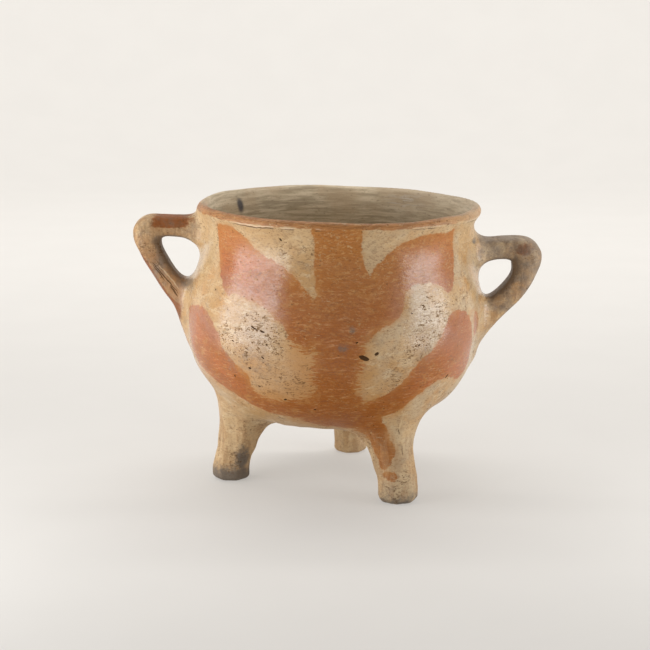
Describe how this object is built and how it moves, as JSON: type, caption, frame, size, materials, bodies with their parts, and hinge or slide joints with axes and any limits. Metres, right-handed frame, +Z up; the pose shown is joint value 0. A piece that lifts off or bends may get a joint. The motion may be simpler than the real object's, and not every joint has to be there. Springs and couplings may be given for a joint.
{
  "type": "pottery olla",
  "caption": "Small tripod olla of painted earthenware: a round-bellied cooking pot with a flared rim and ear-shaped loop handles, standing on its own feet.",
  "frame": {"origin": "middle of the footprint of the whole pot, handles included, on the floor under its feet", "axes": "+Z up out of the bowl's mouth, +X towards the lower of the two handles, -Y towards the side with the painted column"},
  "size_m": [0.2278, 0.1664, 0.1602],
  "materials": {
    "fired_clay": "burnished, low sheen"
  },
  "bodies": {
    "root": {"olla": "fired_clay"}
  },
  "joints": []
}
